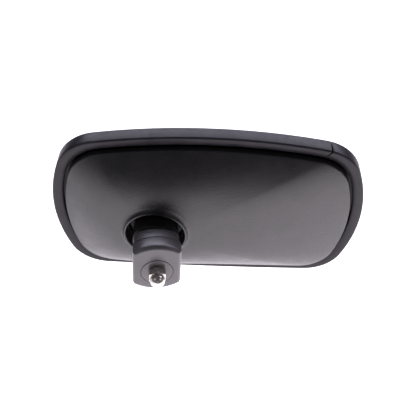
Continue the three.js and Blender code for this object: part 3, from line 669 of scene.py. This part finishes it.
def cap_nut():
    """A chamfered hexagon with a domed cap and a blind bore."""
    seat = OUTER_JAW_DEPTH + DISC_PROUD + GAP
    cap_foot = seat + NUT_HEX_HEIGHT
    corner_radius = NUT_WIDTH / math.sqrt(3)
    chamfer = (corner_radius - NUT_WIDTH / 2) * math.tan(math.radians(NUT_CHAMFER_ANGLE))
    hexagon = turned("domed_nut", [
        (0, seat), (corner_radius, seat), (corner_radius, cap_foot), (0, cap_foot),
    ], on_bolt @ Matrix.Rotation(math.pi / 2, 4, "Y"), 6)
    cone = turned("tool", [
        (0, seat),
        (NUT_WIDTH / 2, seat),
        (corner_radius + SLIVER, seat + chamfer),
        (corner_radius + SLIVER, cap_foot - chamfer),
        (NUT_WIDTH / 2 - NUT_SHOULDER, cap_foot + SLIVER),
        (0, cap_foot + SLIVER),
    ], on_bolt)
    hexagon = combine(hexagon, [cone], "INTERSECT", NUT_SHARP)
    top = seat + NUT_HEIGHT - NUT_DOME_RADIUS
    cap = turned("tool", [
        (0, cap_foot - PAST),
        (NUT_DOME_RADIUS - CAP_NECK_INSET, cap_foot - PAST),
        (NUT_DOME_RADIUS - CAP_NECK_INSET, cap_foot + CAP_NECK_HEIGHT),
        (NUT_DOME_RADIUS, cap_foot + CAP_NECK_END),
        *[(radius, top + y) for radius, y in dome_arc(NUT_DOME_RADIUS, 90, 0, NUT_DOME_STEPS)[:-1]],
        (0, seat + NUT_HEIGHT),
    ], on_bolt)
    nut = combine(hexagon, [cap], "UNION", NUT_SHARP)
    bore = cylinder(BOLT_HOLE_RADIUS, seat - PAST, seat + NUT_BORE_DEPTH, on_bolt)
    return combine(nut, [bore], sharp=NUT_SHARP)


# Materials

class Look:
    """A Principled material and the nodes that feed it. Sizes are in millimetres."""

    def __init__(self, name, colour, roughness, metallic=0.0):
        self.material = bpy.data.materials.new(name)
        self.material.use_nodes = True
        self.tree = self.material.node_tree
        self.surface = self.tree.nodes["Principled BSDF"]
        self.place = self.tree.nodes.new("ShaderNodeTexCoord").outputs["Object"]
        self.surface.inputs["Base Color"].default_value = (*colour, 1)
        self.surface.inputs["Roughness"].default_value = roughness
        self.surface.inputs["Metallic"].default_value = metallic
        self.material.diffuse_color = (*colour, 1)

    def link(self, output, socket):
        self.tree.links.new(output, socket)

    def feed(self, socket, output):
        self.link(output, self.surface.inputs[socket])

    def stretched(self, along):
        """Coordinates stretched along each axis, for brushed or extruded surfaces."""
        mapping = self.tree.nodes.new("ShaderNodeMapping")
        mapping.inputs["Scale"].default_value = along
        self.link(self.place, mapping.inputs["Vector"])
        return mapping.outputs["Vector"]

    def noise(self, size, detail, place=None):
        node = self.tree.nodes.new("ShaderNodeTexNoise")
        node.inputs["Scale"].default_value = 1 / (size * MM)
        node.inputs["Detail"].default_value = detail
        self.link(place or self.place, node.inputs["Vector"])
        return node.outputs["Fac"]

    def cells(self, size):
        node = self.tree.nodes.new("ShaderNodeTexVoronoi")
        node.inputs["Scale"].default_value = 1 / (size * MM)
        self.link(self.place, node.inputs["Vector"])
        return node.outputs["Distance"]

    def spread(self, output, low, high, start=0.3, end=0.7):
        """The output's range from start to end, spread over low to high."""
        node = self.tree.nodes.new("ShaderNodeMapRange")
        node.inputs["From Min"].default_value = start
        node.inputs["From Max"].default_value = end
        node.inputs["To Min"].default_value = low
        node.inputs["To Max"].default_value = high
        self.link(output, node.inputs["Value"])
        return node.outputs["Result"]

    def tint(self, output, dark, light):
        node = self.tree.nodes.new("ShaderNodeMix")
        node.data_type = "RGBA"
        node.inputs["A"].default_value = (*dark, 1)
        node.inputs["B"].default_value = (*light, 1)
        self.link(output, node.inputs["Factor"])
        return node.outputs["Result"]

    def painted_crevice_shade(self, reach, colour, shine):
        """Feeds a colour and a shine, both taken away in narrow gaps found by ambient occlusion: painted
        shade.
        """
        # painted shade: ambient occlusion turns the colour towards near black and dims the shine in gaps
        hollow = self.tree.nodes.new("ShaderNodeAmbientOcclusion")
        hollow.samples = PAINTED_SHADE_SAMPLES
        hollow.inputs["Distance"].default_value = reach * MM
        open_part = self.spread(hollow.outputs["AO"], 0, 1, PAINTED_SHADE_FROM, PAINTED_SHADE_TO)
        shade = self.tree.nodes.new("ShaderNodeMix")
        shade.data_type = "RGBA"
        shade.inputs["A"].default_value = (*PAINTED_SHADE, 1)
        self.link(open_part, shade.inputs["Factor"])
        self.link(colour, shade.inputs["B"])
        self.feed("Base Color", shade.outputs["Result"])
        self.feed("Specular IOR Level", self.spread(open_part, PAINTED_SHADE_SHINE, shine, 0, 1))

    def bump(self, output, height, before=None):
        node = self.tree.nodes.new("ShaderNodeBump")
        node.inputs["Strength"].default_value = 1
        node.inputs["Distance"].default_value = height * MM
        self.link(output, node.inputs["Height"])
        if before:
            self.link(before, node.inputs["Normal"])
        return node.outputs["Normal"]


def shell_plastic():
    look = Look("shell_plastic", (0.02, 0.02, 0.022), 0.45)
    grain = look.noise(0.75, 1)
    cast = look.noise(4, 3)
    cloud = look.noise(26, 2)
    colour = look.tint(look.spread(cloud, 0, 1), (0.01, 0.01, 0.012), (0.016, 0.015, 0.018))
    # painted shade: colour and shine darkened in narrow gaps and hollows
    look.painted_crevice_shade(3.2, colour, 0.47)
    look.feed("Roughness", look.spread(look.noise(9, 4), 0.31, 0.38))
    coarse = look.bump(cast, 0.03)
    look.feed("Normal", look.bump(grain, 0.3, coarse))
    return look


def rim_rubber():
    look = Look("rim_rubber", (0.030, 0.029, 0.035), 0.55)
    cloud = look.noise(14, 4)
    colour = look.tint(look.spread(cloud, 0, 1), (0.015, 0.014, 0.017), (0.024, 0.023, 0.028))
    # painted shade: colour and shine darkened in narrow gaps
    look.painted_crevice_shade(4.5, colour, 0.17)
    look.feed("Roughness", look.spread(look.noise(4, 3), 0.35, 0.45))
    look.feed("Normal", look.bump(look.noise(0.8, 3), 0.012))
    return look


def clamp_plastic():
    look = Look("clamp_plastic", (0.06, 0.056, 0.061), 0.3)
    cloud = look.noise(11, 3)
    colour = look.tint(look.spread(cloud, 0, 1), (0.066, 0.062, 0.068), (0.082, 0.077, 0.085))
    look.feed("Base Color", colour)
    look.feed("Roughness", look.spread(look.noise(3, 4), 0.28, 0.36))
    look.surface.inputs["Specular IOR Level"].default_value = 0.52
    look.feed("Normal", look.bump(look.noise(0.5, 3), 0.01))
    return look


def dome_plastic():
    look = Look("dome_plastic", (0.014, 0.015, 0.014), 0.1)
    scratches = look.noise(0.35, 2, look.stretched((1, 0.06, 1)))
    look.feed("Roughness", look.spread(scratches, 0.07, 0.2, 0.35, 0.75))
    look.feed("Normal", look.bump(look.noise(2.5, 2), 0.004))
    return look


def liner_nylon():
    look = Look("liner_nylon", (0.05, 0.05, 0.053), 0.35)
    look.feed("Roughness", look.spread(look.noise(1.5, 3), 0.3, 0.45))
    look.feed("Normal", look.bump(look.noise(0.4, 2), 0.004))
    return look


def carrier_plastic():
    look = Look("carrier_plastic", (0.03, 0.03, 0.032), 0.5)
    look.feed("Roughness", look.spread(look.noise(5, 3), 0.42, 0.58))
    look.feed("Normal", look.bump(look.noise(0.7, 3), 0.012))
    return look


def foam():
    look = Look("foam", (0.035, 0.035, 0.037), 0.95)
    cells = look.cells(0.8)
    look.feed("Base Color", look.tint(cells, (0.02, 0.02, 0.022), (0.06, 0.06, 0.063)))
    look.feed("Normal", look.bump(cells, 0.15))
    return look


def safety_film():
    look = Look("safety_film", (0.28, 0.29, 0.31), 0.45)
    look.feed("Roughness", look.spread(look.noise(12, 3), 0.35, 0.55))
    look.feed("Normal", look.bump(look.noise(3, 2), 0.006))
    return look


def mirror_glass():
    look = Look("mirror_glass", (0.86, 0.89, 0.9), 0.015, 1.0)
    haze = look.noise(35, 4)
    look.feed("Roughness", look.spread(haze, 0.01, 0.03))
    look.feed("Base Color", look.tint(haze, (0.84, 0.88, 0.885), (0.88, 0.9, 0.91)))
    return look


def zinc_steel():
    look = Look("zinc_steel", (0.55, 0.55, 0.54), 0.3, 1.0)
    stain = look.noise(3.5, 4)
    look.feed("Base Color", look.tint(look.spread(stain, 0, 1), (0.47, 0.47, 0.45), (0.62, 0.62, 0.63)))
    look.feed("Roughness", look.spread(look.noise(0.9, 4), 0.22, 0.42))
    look.feed("Normal", look.bump(look.noise(0.3, 2), 0.004))
    return look


def spring_steel():
    look = Look("spring_steel", (0.1, 0.1, 0.11), 0.38, 1.0)
    look.feed("Roughness", look.spread(look.noise(0.8, 4), 0.3, 0.5))
    look.feed("Normal", look.bump(look.noise(0.25, 2), 0.003))
    return look


def stainless():
    look = Look("stainless", (0.62, 0.59, 0.56), 0.12, 0.76)
    rings = look.noise(0.25, 3, look.stretched((1, 1, 0.15)))
    look.feed("Base Color", look.tint(look.noise(4, 3), (0.56, 0.53, 0.5), (0.66, 0.63, 0.6)))
    look.feed("Roughness", look.spread(rings, 0.2, 0.32))
    look.feed("Normal", look.bump(look.noise(1.2, 2), 0.003))
    return look


def floor_paint():
    look = Look("floor_paint", (0.9, 0.9, 0.9), 0.9)
    look.feed("Base Color", look.tint(look.noise(400, 2), (0.88, 0.88, 0.88), (0.92, 0.92, 0.92)))
    look.surface.inputs["Emission Color"].default_value = (*FLOOR_TINT, 1)
    along = look.tree.nodes.new("ShaderNodeVectorMath")
    along.operation = "DOT_PRODUCT"
    along.inputs[1].default_value = FLOOR_LIGHT_WAY
    look.link(look.place, along.inputs[0])
    look.feed("Emission Strength", look.spread(
        along.outputs["Value"], FLOOR_LIGHT_BEHIND, FLOOR_LIGHT, FLOOR_LIGHT_START, FLOOR_LIGHT_END,
    ))
    return look


# Assembly

def show(thing, body, node):
    """Gives a piece its material and its body, and hides the CAD node that it stands for."""
    slot = slots[node]
    thing.data.materials.clear()
    thing.data.materials.append(looks[slot].material)
    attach(thing, body)
    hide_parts(node)


looks = {make.__name__: make() for make in (
    shell_plastic, rim_rubber, clamp_plastic, dome_plastic, liner_nylon, carrier_plastic,
    foam, safety_film, mirror_glass, zinc_steel, spring_steel, stainless,
)}

for name, slot in slots.items():
    node = frame["nodes"][name]
    node.data.materials.clear()
    node.data.materials.append(looks[slot].material)

show(convex_glass(), "head", "mirror_glass")
show(rubber_rim(), "head", "rubber_rim")
show(rear_shell(), "head", "rear_shell")
show(swivel_dome(), "head", "swivel_dome")
show(inner_jaw(), "clamp", "inner_clamp_jaw")
show(outer_jaw(), "jaw", "outer_clamp_jaw")
show(nut_disc(), "jaw", "nut_disc")
show(cap_nut(), "nut", "cap_nut")


# Stage

def floor():
    level = cad_box[0][2] - FLOOR_DROP
    corners = ((-1, -1), (1, -1), (1, 1), (-1, 1))
    points = [(x * FLOOR_HALF, y * FLOOR_HALF, level) for x, y in corners]
    plane = piece("studio_floor", points, [(0, 1, 2, 3)], Matrix.Identity(4))
    plane.data.materials.append(floor_paint().material)


def aimed(location, target):
    return (Vector(target) - Vector(location)).to_track_quat("-Z", "Y").to_euler()


def way_to(azimuth, elevation):
    """The way from the object to a viewpoint, whose angles are in degrees. Azimuth 0 is towards -Y."""
    turn = math.radians(azimuth)
    rise = math.radians(elevation)
    return Vector((math.sin(turn) * math.cos(rise), -math.cos(turn) * math.cos(rise), math.sin(rise)))


def softbox(name, azimuth, elevation, distance, size, power, colour):
    """An area light that looks at the middle of the object."""
    light = bpy.data.lights.new(name, "AREA")
    light.shape = "RECTANGLE"
    light.size = size[0]
    light.size_y = size[1]
    light.energy = power
    light.color = colour
    lamp = bpy.data.objects.new(name, light)
    middle = (Vector(cad_box[0]) + Vector(cad_box[1])) / 2
    lamp.location = middle + way_to(azimuth, elevation) * distance
    lamp.rotation_euler = aimed(lamp.location, middle)
    bpy.context.scene.collection.objects.link(lamp)


def camera():
    turn = math.radians(CAMERA_AZIMUTH)
    roll = math.radians(CAMERA_ROLL)
    way = way_to(CAMERA_AZIMUTH, CAMERA_ELEVATION)
    level = Vector((math.cos(turn), math.sin(turn), 0))
    down = way.cross(level) * -1
    right = level * math.cos(roll) + down * math.sin(roll)
    up = way.cross(right)
    eye = bpy.data.objects.new("camera", bpy.data.cameras.new("camera"))
    eye.data.lens = CAMERA_LENS
    eye.data.sensor_width = CAMERA_SENSOR
    eye.data.clip_start = CAMERA_NEAR
    eye.matrix_world = Matrix((
        (right.x, up.x, way.x, 0), (right.y, up.y, way.y, 0), (right.z, up.z, way.z, 0), (0, 0, 0, 1),
    ))
    eye.location = Vector(CAMERA_TARGET) + way * CAMERA_DISTANCE
    bpy.context.scene.collection.objects.link(eye)
    bpy.context.scene.camera = eye


def world():
    """A dim room that is a little lighter overhead. Seen directly, it is a pale backdrop."""
    sky = bpy.data.worlds.new("studio")
    sky.use_nodes = True
    tree = sky.node_tree
    direction = tree.nodes.new("ShaderNodeTexCoord")
    height = tree.nodes.new("ShaderNodeSeparateXYZ")
    tree.links.new(direction.outputs["Generated"], height.inputs["Vector"])
    ramp = tree.nodes.new("ShaderNodeValToRGB")
    ramp.color_ramp.elements[0].position = ROOM_LOW_AT
    ramp.color_ramp.elements[0].color = (*ROOM_LOW, 1)
    ramp.color_ramp.elements[1].position = ROOM_HIGH_AT
    ramp.color_ramp.elements[1].color = (*ROOM_HIGH, 1)
    tree.links.new(height.outputs["Z"], ramp.inputs["Fac"])
    rays = tree.nodes.new("ShaderNodeLightPath")
    shown = tree.nodes.new("ShaderNodeMix")
    shown.data_type = "RGBA"
    shown.inputs["B"].default_value = (*BACKDROP, 1)
    tree.links.new(rays.outputs["Is Camera Ray"], shown.inputs["Factor"])
    tree.links.new(ramp.outputs["Color"], shown.inputs["A"])
    tree.links.new(shown.outputs["Result"], tree.nodes["Background"].inputs["Color"])
    bpy.context.scene.world = sky


floor()
softbox("back_softbox", azimuth=-14, elevation=44, distance=1.6, size=(2.6, 0.7), power=44, colour=LAVENDER)
for name, azimuth in (("left_strip", 112), ("right_strip", 240)):
    softbox(name, azimuth, elevation=44, distance=1.5, size=(0.1, 0.5), power=1.0, colour=NEARLY_WHITE)
camera()
world()
bpy.context.scene.view_settings.view_transform = "Standard"
